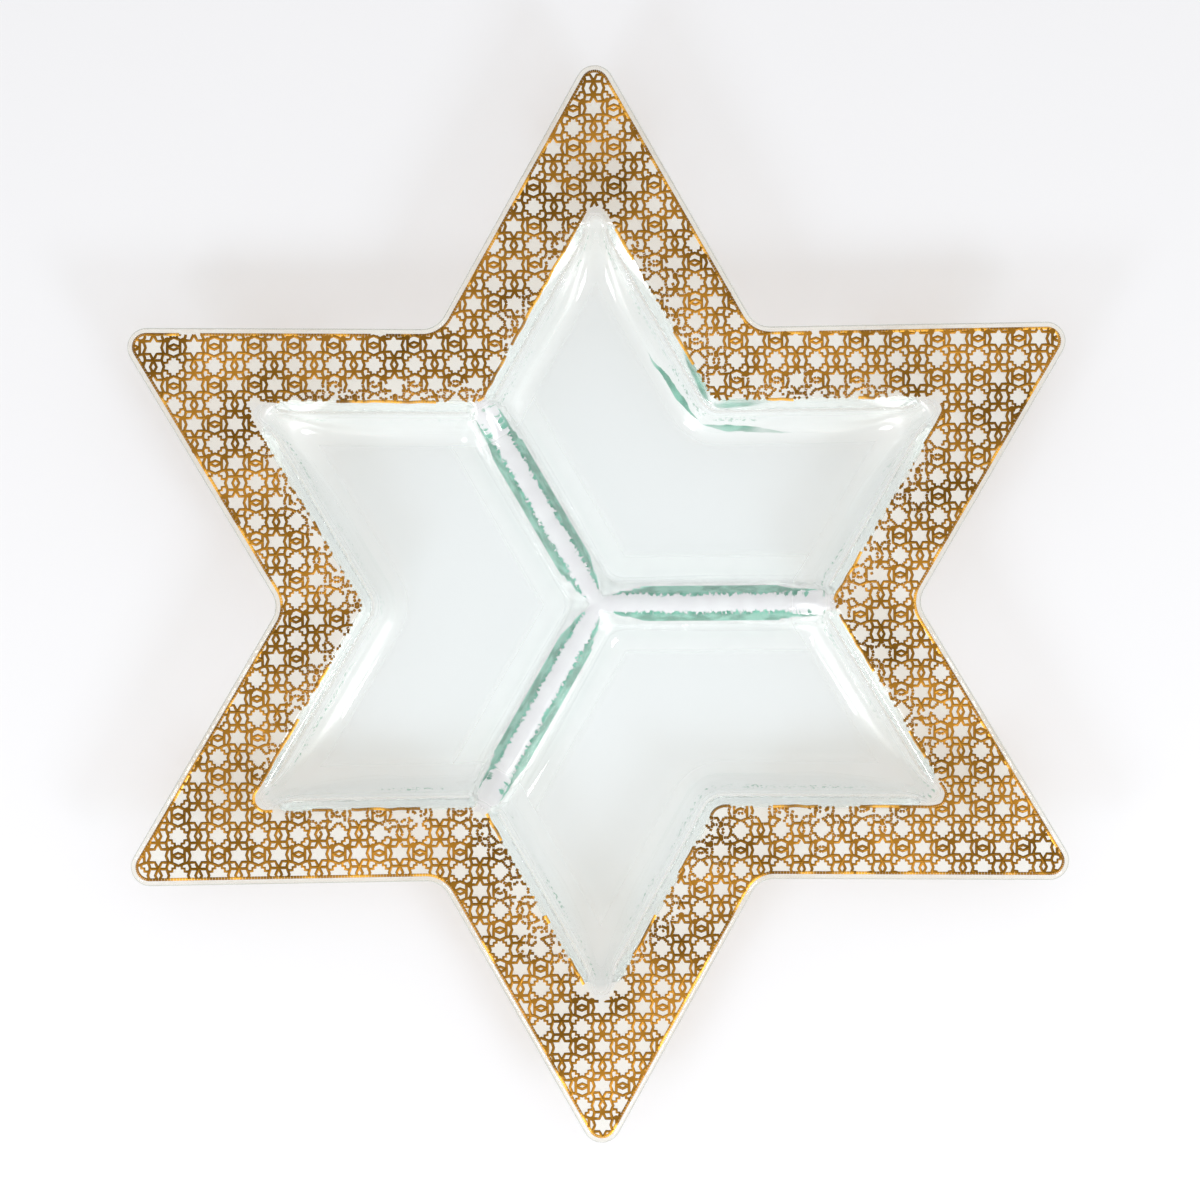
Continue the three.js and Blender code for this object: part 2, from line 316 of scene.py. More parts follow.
def well_loop(wall, divider, extra):
    """One wedge's part of a loop round a well: the hub, the divider's side, the corner and the rim."""
    inset = divider[0]
    at = sharp_wedge(RIM_WIDTH + wall[0])
    rim = rim_wedge(RIM_WIDTH + wall[0], WELL_TIP_ROUND + extra, WELL_NOTCH_ROUND + wall[0])
    hub = polar(inset / math.sin(2 * TWELFTH), 2 * TWELFTH)
    corner = Vector((at["divider_notch"].x + inset / math.tan(NOTCH_HALF_ANGLE), inset))
    if inset == 0:
        hub_arc = [Vector((0, 0))] * (HUB_STEPS + 1)
        corner_arc = rim[: CORNER_STEPS + 1]
    else:
        hub_curve = min(HUB_ROUND + extra, 2 * inset)
        hub_arc = fillet(hub, hub + polar(1, 4 * TWELFTH), hub + polar(1, 0), hub_curve, 2 * HUB_STEPS)
        hub_arc = hub_arc[HUB_STEPS:]
        corner_curve = min(CORNER_ROUND + extra, 2 * inset)
        corner_arc = fillet(corner, hub, at["tip"], corner_curve, CORNER_STEPS)
    side = between(hub_arc[-1], corner_arc[0], SIDE_STEPS)
    risen = hub_arc + side + corner_arc
    loop = [Vector((p.x, p.y, loop_height(p, wall, divider))) for p in risen]
    # The arm after the corner starts where this loop's own corner ended.
    arm_end = rim[CORNER_STEPS + 1 + ARM_STEPS]
    arm = between(corner_arc[-1], arm_end, ARM_STEPS)
    level = arm + rim[CORNER_STEPS + 1 + ARM_STEPS:]
    return loop + [Vector((p.x, p.y, wall[1])) for p in level]


def rim_loop(inset, height, tip_curve, notch_curve):
    """One wedge's part of a level loop round the rim."""
    return [Vector((p.x, p.y, height)) for p in rim_wedge(inset, tip_curve, notch_curve)]


def edge_loops():
    """The loops over the fire-polished edge, from the upper face round to the underside."""
    profile = []
    for i in range(EDGE_STEPS + 1):
        turn = math.pi / 2 * i / EDGE_STEPS
        profile.append((1 - math.sin(turn), -EDGE_ROUND * (1 - math.cos(turn))))
    for i in range(EDGE_STEPS + 1):
        turn = math.pi / 2 * i / EDGE_STEPS
        profile.append((1 - math.cos(turn), -GLASS + EDGE_ROUND * (1 - math.sin(turn))))
    loops = []
    for share, below in profile:
        inset = EDGE_ROUND * share
        loops.append(rim_loop(inset, RIM_TOP + below, TIP_ROUND - inset, NOTCH_ROUND + inset))
    return loops


def strip(outer, inner):
    """Quads between two loops with as many points each."""
    return [(outer[i], outer[i + 1], inner[i + 1], inner[i]) for i in range(len(outer) - 1)]


def level_floor(loop):
    """Triangles over the flat floor inside one wedge's loop, with inner points for the ripple."""
    spacing = 5 * MM
    outline = [p.to_2d() for p in loop]
    height = loop[-1].z
    reach = math.ceil(TIP_RADIUS / spacing)
    inner = []
    for i in range(-reach, reach):
        for j in range(-reach, reach):
            point = Vector(((i + 0.5 * (j % 2)) * spacing, j * spacing * math.sin(2 * TWELFTH)))
            if deep_inside(point, outline, 0.5 * spacing):
                inner.append(point)
    count = len(outline)
    ring = [(i, (i + 1) % count) for i in range(count)]
    verts, _, faces, _, _, _ = delaunay_2d_cdt(outline + inner, ring, [], 1, SAME_PLACE)
    return [tuple(Vector((verts[i].x, verts[i].y, height)) for i in face) for face in faces]


def deep_inside(point, outline, margin):
    """True if a point lies in an outline and further than a margin from it."""
    inside = False
    for a, b in zip(outline, outline[1:] + outline[:1]):
        if (a.y > point.y) != (b.y > point.y):
            if point.x < (b.x - a.x) * (point.y - a.y) / (b.y - a.y) + a.x:
                inside = not inside
        along = b - a
        if along.length > 0:
            share = min(max((point - a).dot(along) / along.length_squared, 0), 1)
            if (a + along * share - point).length < margin:
                return False
    return inside


def loops_between(first, last):
    """Even loops from a first to a last one with as many points each, both included."""
    return [[a.lerp(b, i / RIM_STEPS) for a, b in zip(first, last)] for i in range(RIM_STEPS + 1)]


def glass_wedge():
    """The faces of one wedge of the glass, with a mark for those of the moulded underside."""
    upper = [well_loop(w, d, 0) for w, d in zip(UPPER_WALL, UPPER_DIVIDER)]
    lower = [well_loop(w, d, GLASS) for w, d in zip(LOWER_WALL, LOWER_DIVIDER)]
    rim_start = HUB_STEPS + 1 + SIDE_STEPS
    edge = edge_loops()
    top_rim = loops_between(upper[0][rim_start:], edge[0])
    low_rim = loops_between(edge[-1], lower[0][rim_start:])
    around = top_rim[:-1] + edge + low_rim[1:]
    faces = []
    for outer, inner in zip(upper, upper[1:]):
        faces += [(f, False) for f in strip(outer, inner)]
    faces += [(f, False) for f in level_floor(upper[-1])]
    for inner, outer in zip(around, around[1:]):
        faces += [(f, False) for f in strip(outer, inner)]
    for outer, inner in zip(lower, lower[1:]):
        faces += [(tuple(reversed(f)), True) for f in strip(outer, inner)]
    faces += [(tuple(reversed(f)), True) for f in level_floor(lower[-1])]
    return faces


def rim_wave(x, y):
    """The slight unevenness of the slumped sheet: a few hundredths of a millimetre, over some 40 mm."""
    return WAVE_HEIGHT * noise.noise(Vector((x / WAVE_LENGTH, y / WAVE_LENGTH, 3.7)))


def tip_lift(point, under, to_well):
    """How much higher the sheet lies at a point in a well's tip than on the mould's floor."""
    off_tip = math.atan2(point.y, point.x) % (2 * TWELFTH) - TWELFTH
    out = point.xy.length * math.cos(off_tip)
    height = (out - TIP_SLOPE_START) * math.tan(TIP_SLOPE_ANGLE)
    height += GLASS * (1 - 1 / math.cos(TIP_SLOPE_ANGLE)) if under else GLASS
    blend = max(TIP_SLOPE_BLEND - abs(height - point.z), 0) ** 2 / (4 * TIP_SLOPE_BLEND)
    return (max(height - point.z, 0) + blend) * smooth(to_well / TIP_SLOPE_EDGE)


def sagged(point, under, to_well, across):
    """A point of the glass with the slopes in the wells' tips, the sheet's waviness and, under it, the
    mould's face, which is rougher in the hollows."""
    point = point + Vector((0, 0, tip_lift(point, under, to_well)))
    wave = rim_wave(point.x, point.y)
    if not under:
        return point + Vector((0, 0, wave))
    if point.z < ON_MOULD:
        return point
    fine = noise.noise_vector(point / MOULD_GRAIN)
    in_hollow = smooth(1.5 - across / HOLLOW_REACH)
    return point + Vector((0, 0, wave)) + fine * (MOULD_ROUGHNESS + HOLLOW_ROUGHNESS * in_hollow)


def kept_inside(point):
    """A point of the finely rounded outline, brought back into the box of the solid's coarser one."""
    low, high = CAD_BOX
    return Vector(min(max(point[i], low[i]), high[i]) for i in range(3))


def divider_place(point):
    """A point's distances along and across from the nearest divider's middle line."""
    places = []
    for angle in (0, 4 * TWELFTH, 8 * TWELFTH):
        local = turned(point.xy, -angle)
        across = abs(local.y) if local.x > 0 else local.length
        places.append((across, max(local.x, 0), local))
    across, along, local = min(places, key=lambda place: place[0])
    return along, across, local


def ridge_share(point):
    """1 on the part of a divider's hollow that shows as a dark band, 0 elsewhere: its steep side, less and
    less of it towards both ends of the divider."""
    along, across, local = divider_place(point)
    if across > HOLLOW_REACH or along < BAND_START or along > BAND_END:
        return 0
    folded = Vector((local.x, abs(local.y)))
    top = loop_height(folded, LOWER_WALL[0], LOWER_DIVIDER[0])
    taper = smooth((along - BAND_START) / BAND_TAPER) * smooth((BAND_END - along) / BAND_TAPER)
    low = BAND_LOW_AT_ENDS - BAND_GROWTH * taper
    return smooth((point.z / top - low) / BAND_EDGE)


def make_glass():
    """The glass as one closed mesh."""
    # Without a seed the mould's grain would follow the clock
    noise.seed_set(MOULD_SEED)
    mesh = bpy.data.meshes.new("slumped_glass")
    bm = bmesh.new()
    wedge = glass_wedge()
    for third in range(3):
        turn = Matrix.Rotation(third * 4 * TWELFTH, 3, "Z")
        for mirror in (False, True):
            for corners, under in wedge:
                points = []
                for p in corners:
                    q = Vector((p.x, -p.y, p.z)) if mirror else p
                    q = turn @ q
                    if not points or (q - points[-1]).length > SAME_PLACE:
                        points.append(q)
                if (points[0] - points[-1]).length < SAME_PLACE:
                    points.pop()
                if len(points) < 3:
                    continue
                if mirror:
                    points.reverse()
                face = bm.faces.new([bm.verts.new(q) for q in points])
                face.material_index = 1 if under else 0
                face.smooth = True
    bmesh.ops.remove_doubles(bm, verts=bm.verts, dist=WELD)
    bmesh.ops.dissolve_degenerate(bm, dist=WELD, edges=bm.edges)
    mould, ridge, across, inset, border = (bm.verts.layers.float.new(name) for name in GLASS_MARKS)
    flat = numpy.array([vert.co.xy for vert in bm.verts])
    insets = outline_distance(flat, star_outline(RIM_WIDTH, WELL_TIP_ROUND, WELL_NOTCH_ROUND))
    borders = outline_distance(flat, star_outline(0, TIP_ROUND, NOTCH_ROUND))
    for vert, to_well, to_border in zip(bm.verts, insets, borders):
        under = all(face.material_index == 1 for face in vert.link_faces)
        vert[inset] = max(to_well, 0)
        vert[border] = to_border
        vert[across] = divider_place(vert.co)[1]
        if under:
            vert[mould] = 1
            vert[ridge] = ridge_share(vert.co)
        vert.co = kept_inside(sagged(vert.co, under, to_well, vert[across]))
    for face in bm.faces:
        face.material_index = 0
    bm.to_mesh(mesh)
    bm.free()
    piece = bpy.data.objects.new("slumped_glass", mesh)
    bpy.context.scene.collection.objects.link(piece)
    return piece


def linear(code):
    """A colour from its sRGB hex code."""
    parts = [int(code[i:i + 2], 16) / 255 for i in (1, 3, 5)]
    return tuple(c / 12.92 if c < 0.04045 else ((c + 0.055) / 1.055) ** 2.4 for c in parts) + (1,)


def add(tree, kind, settings=None, **inputs):
    """A node of a kind with its settings; an input is a value or a socket to link from."""
    node = tree.nodes.new(kind)
    for name, value in (settings or {}).items():
        setattr(node, name, value)
    for name, value in inputs.items():
        key = int(name[1:]) if name[0] == "n" and name[1:].isdigit() else name.replace("_", " ")
        socket = node.inputs[key]
        if isinstance(value, bpy.types.NodeSocket):
            tree.links.new(value, socket)
        else:
            socket.default_value = value
    return node


def new_material(name):
    """An empty node material and its output."""
    material = bpy.data.materials.new(name)
    material.use_nodes = True
    tree = material.node_tree
    tree.nodes.clear()
    return material, tree


def step_between(tree, value, low, high, first=0.0, last=1.0):
    """A smooth step of a value from one output to another."""
    node = add(
        tree, "ShaderNodeMapRange", {"interpolation_type": "SMOOTHSTEP"},
        Value=value, n1=low, n2=high, n3=first, n4=last,
    )
    return node.outputs[0]


def combine(tree, operation, first, second):
    """The result of a sum on two values."""
    return add(tree, "ShaderNodeMath", {"operation": operation}, n0=first, n1=second).outputs[0]


def blended(tree, share, first, second):
    """A colour that goes from a first to a second one with a share."""
    mix = add(tree, "ShaderNodeMix", {"data_type": "RGBA"}, n0=share, n6=first, n7=second)
    return mix.outputs[2]


def mottle(tree, place, length, detail=2.0):
    """A smooth noise round 0.5 whose patches are about as long as a length."""
    noise_node = add(tree, "ShaderNodeTexNoise", None, Vector=place, Scale=1 / length, Detail=detail)
    return noise_node.outputs["Fac"]


def spread_light(tree, path):
    """1 for the rays that look for a lamp and for those that a matt face has sent on, 0 for others."""
    return combine(tree, "MAXIMUM", path.outputs["Is Shadow Ray"], path.outputs["Is Diffuse Ray"])


def painted_streaks(tree, place, wander, slow):
    """1 on the painted reflections: thin streaks along the feet of the two walls that meet in the upper
    right notch.
    """
    out, across = (
        add(tree, "ShaderNodeVectorMath", {"operation": "DOT_PRODUCT"}, n0=place, n1=(*polar(1, angle), 0))
        for angle in (2 * TWELFTH, 5 * TWELFTH)
    )
    aside = combine(tree, "ABSOLUTE", across.outputs["Value"], 0.0)
    line = combine(tree, "ADD", combine(tree, "MULTIPLY", aside, STREAK_SLANT), STREAK_RADIUS)
    wandered = combine(tree, "ADD", out.outputs["Value"], wander)
    off_line = combine(tree, "ABSOLUTE", combine(tree, "SUBTRACT", wandered, line), 0.0)
    starting = step_between(tree, aside, -2 * MM, 9 * MM)
    ending = step_between(tree, aside, STREAK_LENGTH * 0.4, STREAK_LENGTH, 1.0, 0.0)
    width = combine(tree, "MULTIPLY", combine(tree, "MULTIPLY", starting, ending), STREAK_WIDTH)
    within = combine(tree, "SUBTRACT", width, off_line)
    strong = step_between(tree, slow, 0.3, 0.6, 0.35, 1.0)
    return combine(tree, "MULTIPLY", step_between(tree, within, 0.0, STREAK_EDGE), strong)


def float_glass():
    """Soda-lime float glass: clear, with the faint green that iron gives it, deeper along a long path.
    Lamps and the light that the table spreads pass straight through it, but less where it is steep and
    at its border, and light that has bounced about inside the sheet gets out of it. The face that lay on
    the mould is satin and hazy on the dividers and walls. Painted on it: teal on the steep sides of the
    hollows and a thin line high on the walls, for the green that light takes on along a long way through
    the steep glass; reflection streaks past the upper right notch; a faint warm glow under the rim for
    light bounced off the gold; and shade in a grey-green line along the border."""
    material, tree = new_material("clear_float_glass")
    place = add(tree, "ShaderNodeTexCoord").outputs["Object"]
    mould, ridge, across, inset, border = (
        add(tree, "ShaderNodeAttribute", {"attribute_name": name}).outputs["Fac"] for name in GLASS_MARKS
    )
    ripple = mottle(tree, place, 12 * MM)
    bump = add(tree, "ShaderNodeBump", None, Strength=0.12, Distance=0.3 * MM, Height=ripple)
    on_wall = combine(tree, "MULTIPLY", step_between(tree, inset, 13 * MM, 19 * MM, 1.0, 0.0), mould)
    on_well_wall = combine(tree, "MULTIPLY", on_wall, step_between(tree, inset, 0.0, 2 * MM))
    off_mould = step_between(tree, mould, 0.0, 1.0, 0.01, 0.12)
    satin = combine(tree, "ADD", off_mould, combine(tree, "MULTIPLY", on_well_wall, 0.16))
    grit, smear, slow = (mottle(tree, place, length) for length in (1.2 * MM, 7 * MM, 26 * MM))
    loose_grit = combine(tree, "SUBTRACT", grit, 0.5)
    loose_smear = combine(tree, "SUBTRACT", smear, 0.5)

    # Painted light: teal on the hollows' steep sides, with a ragged edge towards the crest, for the green
    # that light takes on along its long way through the steep glass, and painted reflection streaks past
    # the upper right notch
    uneven_edge = combine(tree, "ADD", loose_grit, combine(tree, "MULTIPLY", loose_smear, 0.35))
    shift = combine(tree, "MULTIPLY", uneven_edge, 2.0 * MM)
    ragged = step_between(tree, combine(tree, "ADD", across, shift), 1.7 * MM, 2.05 * MM)
    steep = combine(tree, "MULTIPLY", step_between(tree, ridge, 0.35, 0.65), ragged)
    wander = combine(tree, "MULTIPLY", loose_smear, 3 * MM)
    streak = combine(tree, "MULTIPLY", painted_streaks(tree, place, wander, slow), mould)
    teal = combine(tree, "MAXIMUM", steep, streak)

    # A thin teal-grey line, painted in patches high up on the walls: painted light, the green line that
    # light bent in the wall's glass shows there
    off_line = combine(tree, "ABSOLUTE", combine(tree, "SUBTRACT", inset, 2.6 * MM), 0.0)
    rough_width = combine(tree, "MULTIPLY", loose_grit, 5 * MM)
    line = step_between(tree, combine(tree, "ADD", off_line, rough_width), -0.5 * MM, 0.2 * MM, 1.0, 0.0)
    in_patches = combine(tree, "MULTIPLY", line, step_between(tree, slow, 0.45, 0.6))
    painted_wall_line = combine(tree, "MULTIPLY", in_patches, mould)

    # Haze on the underside of the crests, dividers and walls
    crest = step_between(tree, across, 1.8 * MM, 2.8 * MM, 0.55, 0.0)
    near_divider = step_between(tree, across, 16 * MM, 20 * MM, 0.34, 0.0)
    near_wall = step_between(tree, inset, 5 * MM, 18 * MM, 0.5, 0.0)
    uneven = step_between(tree, slow, 0.25, 0.75, 0.85, 1.15)
    hazy = combine(tree, "MAXIMUM", crest, combine(tree, "MAXIMUM", near_divider, near_wall))
    in_well = combine(tree, "MULTIPLY", mould, step_between(tree, inset, 0.0, 1.0 * MM))
    haze = combine(tree, "MULTIPLY", combine(tree, "MULTIPLY", hazy, uneven), in_well)

    # The colours: the clear sheet, with a faint painted warm glow under the rim for light bounced off the
    # gold, the frosted crests, and the painted light of the lines and bands
    on_rim = step_between(tree, inset, 0.0, 0.6 * MM, 1.0, 0.0)
    # Painted warm glow: the rim's part of the sheet is tinted warm for the light that the gold bounces
    # into it
    sheet = blended(tree, on_rim, linear("#FAFDFD"), linear("#FFFEF8"))
    on_crest = combine(tree, "MULTIPLY", step_between(tree, across, 1.6 * MM, 2.6 * MM, 1.0, 0.0), mould)
    frost = combine(tree, "MULTIPLY", on_crest, step_between(tree, smear, 0.3, 0.7, 0.6, 1.0))
    frosted = blended(tree, frost, sheet, linear("#EBE9ED"))
    # The painted green line of light bent in the walls' glass
    with_wall_line = blended(tree, painted_wall_line, frosted, linear("#98BFAE"))
    # Painted shade: a dull grey-green line along the sheet's rounded border, where the edge turns light
    # away
    painted_edge_shade = step_between(tree, border, 0.2 * MM, 0.7 * MM, 1.0, 0.0)
    edged = blended(tree, painted_edge_shade, with_wall_line, linear("#AEB8AC"))
    greens = blended(tree, step_between(tree, smear, 0.35, 0.65), linear("#3F8F76"), linear("#74BDA6"))
    colour = blended(tree, teal, edged, greens)
    opaque = haze
    for mark, strength in ((teal, 0.85), (painted_wall_line, 0.3), (painted_edge_shade, 0.45)):
        opaque = combine(tree, "MAXIMUM", opaque, combine(tree, "MULTIPLY", mark, strength))
    shader = add(
        tree, "ShaderNodeBsdfPrincipled", None, Base_Color=colour, Roughness=satin, IOR=1.52,
        Transmission_Weight=combine(tree, "SUBTRACT", 1.0, opaque), Normal=bump.outputs["Normal"],
    )

    # Lamps' light and spread light go straight through
    facing = add(tree, "ShaderNodeLayerWeight", None, Blend=0.15)
    at_border = step_between(tree, border, 0.8 * MM, 4.5 * MM, 0.8, 0.0)
    held = combine(tree, "MAXIMUM", facing.outputs["Facing"], at_border)
    shade = blended(tree, held, linear("#FFFFFF"), linear("#E9EEEB"))
    passing = add(tree, "ShaderNodeBsdfTransparent", None, Color=shade)
    path = add(tree, "ShaderNodeLightPath")
    deep = combine(tree, "GREATER_THAN", path.outputs["Ray Depth"], RAY_DEPTH)
    through = combine(tree, "MAXIMUM", spread_light(tree, path), deep)
    mix = add(
        tree, "ShaderNodeMixShader", None,
        n0=through, n1=shader.outputs["BSDF"], n2=passing.outputs["BSDF"],
    )
    tint = add(tree, "ShaderNodeVolumeAbsorption", None, Color=linear("#A9E0C6"), Density=2.2)
    out = add(tree, "ShaderNodeOutputMaterial")
    tree.links.new(mix.outputs["Shader"], out.inputs["Surface"])
    tree.links.new(tint.outputs["Volume"], out.inputs["Volume"])
    return material


def table_top():
    """The floor: smooth white card."""
    material, tree = new_material("white_card")
    shader = add(tree, "ShaderNodeBsdfPrincipled", None, Base_Color=linear("#F4F4F6"), Roughness=0.6)
    out = add(tree, "ShaderNodeOutputMaterial")
    tree.links.new(shader.outputs["BSDF"], out.inputs["Surface"])
    return material


def cell_strokes():
    """The strokes of one cell of the lattice, round a six-pointed star, as (points, weight) in shares of
    the pitch: the star, the rays beside it, the overlapped hexagons above it, the barrel with a lens
    beside it and the stepped star at the cell's corner."""
    top, diagonal, tip, side = 0.333, (0.084, 0.164), (0.256, 0.168), 0.198
    barrel, barrel_end, barrel_bar, lens = (0.160, 0.184), 0.252, 0.157, 0.070
    oval_side, oval_corner, oval_lens = 0.262, (0.205, 0.168), 0.079
    ray = (0.214, 0.262)
    steps = [(0.082, 0.266), (0.084, 0.186), (0.151, 0.180), (0.154, 0.104), (0.246, 0.098)]
    strokes = []
    for x in (1, -1):
        for y in (1, -1):
            at_tip = (x * tip[0], y * tip[1])
            corner = (0.5 - x * barrel[0], y * barrel[1])
            bar = (0.5 - x * barrel_bar, 0)
            oval = (x * oval_corner[0], y * (0.5 - oval_corner[1]))
            link = (0.5 - barrel[0] if x > 0 else barrel[0] - 0.5, y * barrel[1])
            strokes += [
                ([(0, y * top), (x * diagonal[0], y * diagonal[1]), at_tip, (x * side, 0)], 1.0),
                ([at_tip, (x * ray[0], y * ray[1]), oval], 1.1),
                ([(0.5, y * barrel_end), corner], 0.95),
                ([corner, bar], 1.1),
                ([bar, (0.5, y * lens)], 0.95),
                ([(0.5 + x * across, 0.5 + y * up) for across, up in steps], 1.05),
                ([(x * oval_side, 0.5), (x * oval_corner[0], 0.5 + y * oval_corner[1])], 1.0),
                ([(x * oval_corner[0], 0.5 + y * oval_corner[1]), (0, 0.5 + y * (0.5 - top))], 1.0),
                ([(0, 0.5 + y * (0.5 - top)), (-x * oval_lens, 0.5)], 0.95),
                ([at_tip, link], 1.7),
            ]
    return strokes


def lattice_cell():
    """The cell's strokes as a mesh of edges, cut into short pieces, with each point's weight and a mark
    for the joints that get a bead."""
    mesh = bpy.data.meshes.new("lattice_cell")
    bm = bmesh.new()
    weight_of = bm.verts.layers.float.new("weight")
    joint = bm.verts.layers.float.new("joint")
    for stroke, weight in cell_strokes():
        corners = [Vector((x * PITCH_X, y * PITCH_Y, 0)) for x, y in stroke]
        last = bm.verts.new(corners[0])
        last[weight_of] = weight
        for a, b in zip(corners, corners[1:]):
            pieces = math.ceil((b - a).length / PIECE_LENGTH)
            for i in range(1, pieces + 1):
                vert = bm.verts.new(a.lerp(b, i / pieces))
                vert[weight_of] = weight
                bm.edges.new((last, vert))
                last = vert
    bmesh.ops.remove_doubles(bm, verts=bm.verts, dist=JOIN)
    for vert in bm.verts:
        at_top = abs(vert.co.x) < 0.1 * MM and len(vert.link_edges) > 3
        at_tip = vert[weight_of] > 1.5 and len(vert.link_edges) > 2
        vert[joint] = 1.0 if at_top or at_tip else 0.0
    bm.to_mesh(mesh)
    bm.free()
    piece = bpy.data.objects.new("lattice_cell", mesh)
    bpy.context.scene.collection.objects.link(piece)
    return piece


def area_object(name, outer, inner):
    """A flat scratch object that covers the ring between two outlines with as many points."""
    mesh = bpy.data.meshes.new(name)
    verts = [Vector((p.x, p.y, 0)) for outline in (outer, inner) for p in outline]
    count = len(outer)
    faces = [(i, (i + 1) % count, count + (i + 1) % count, count + i) for i in range(count)]
    mesh.from_pydata(verts, [], faces)
    scratch = bpy.data.objects.new(name, mesh)
    bpy.context.scene.collection.objects.link(scratch)
    return scratch


def new_tree(name, sockets):
    """An empty geometry node tree with a mesh going in and out, and its inputs."""
    tree = bpy.data.node_groups.new(name, "GeometryNodeTree")
    face = tree.interface
    face.new_socket("Geometry", in_out="INPUT", socket_type="NodeSocketGeometry")
    for socket, kind in sockets:
        face.new_socket(socket, in_out="INPUT", socket_type="NodeSocket" + kind)
    face.new_socket("Geometry", in_out="OUTPUT", socket_type="NodeSocketGeometry")
    return tree, add(tree, "NodeGroupInput").outputs


def lines_tree():
    """Geometry nodes that lay the cell's lines out in rows and columns over the rim, let the pattern drift
    a little, as a hand-laid print does, and drop what is far from the print's area."""
    tree, given = new_tree("lattice_lines", [
        ("Print Area", "Object"), ("Pitch X", "Float"), ("Pitch Y", "Float"), ("Columns", "Int"),
        ("Rows", "Int"), ("Row Shift", "Float"), ("Turn", "Float"), ("Reach", "Float"), ("Drift", "Float"),
    ])
    spans = []
    for pitch, count in (("Pitch X", "Columns"), ("Pitch Y", "Rows")):
        gaps = combine(tree, "SUBTRACT", given[count], 1.0)
        spans.append(combine(tree, "MULTIPLY", gaps, given[pitch]))
    grid = add(
        tree, "GeometryNodeMeshGrid", None, Size_X=spans[0], Size_Y=spans[1],
        Vertices_X=given["Columns"], Vertices_Y=given["Rows"],
    )
    shift = add(tree, "ShaderNodeCombineXYZ", None, Y=given["Row Shift"])
    placed = add(
        tree, "GeometryNodeTransform", None, Geometry=grid.outputs["Mesh"], Translation=shift.outputs[0]
    )
    cells = add(
        tree, "GeometryNodeInstanceOnPoints", None, Points=placed.outputs[0], Instance=given["Geometry"]
    )
    real = add(tree, "GeometryNodeRealizeInstances", None, Geometry=cells.outputs[0])
    angle = add(tree, "ShaderNodeCombineXYZ", None, Z=given["Turn"])
    spun = add(tree, "GeometryNodeTransform", None, Geometry=real.outputs[0], Rotation=angle.outputs[0])
    welded = add(tree, "GeometryNodeMergeByDistance", None, Geometry=spun.outputs[0], Distance=JOIN)

    place = add(tree, "GeometryNodeInputPosition").outputs[0]
    moves = []
    for length, detail, reach in ((70 * MM, 0.0, 1.0), (5 * MM, 1.0, 0.16)):
        source = add(tree, "ShaderNodeTexNoise", None, Vector=place, Scale=1 / length, Detail=detail)
        centred = add(
            tree, "ShaderNodeVectorMath", {"operation": "SUBTRACT"},
            n0=source.outputs["Color"], n1=(0.5, 0.5, 0.5),
        )
        size = combine(tree, "MULTIPLY", given["Drift"], reach)
        move = add(
            tree, "ShaderNodeVectorMath", {"operation": "SCALE"}, n0=centred.outputs[0], Scale=size
        )
        moves.append(move.outputs[0])
    both = add(tree, "ShaderNodeVectorMath", {"operation": "ADD"}, n0=moves[0], n1=moves[1])
    level = add(
        tree, "ShaderNodeVectorMath", {"operation": "MULTIPLY"}, n0=both.outputs[0], n1=(1, 1, 0)
    )
    drifted = add(
        tree, "GeometryNodeSetPosition", None, Geometry=welded.outputs[0], Offset=level.outputs[0]
    )

    area = add(tree, "GeometryNodeObjectInfo", None, Object=given["Print Area"])
    near = add(
        tree, "GeometryNodeProximity", {"target_element": "FACES"}, Geometry=area.outputs["Geometry"]
    )
    far = add(
        tree, "FunctionNodeCompare", {"data_type": "FLOAT", "operation": "GREATER_THAN"},
        n0=near.outputs["Distance"], n1=given["Reach"],
    )
    kept = add(
        tree, "GeometryNodeDeleteGeometry", {"domain": "POINT"},
        Geometry=drifted.outputs[0], Selection=far.outputs[0],
    )
    done = add(tree, "NodeGroupOutput")
    tree.links.new(kept.outputs[0], done.inputs[0])
    return tree


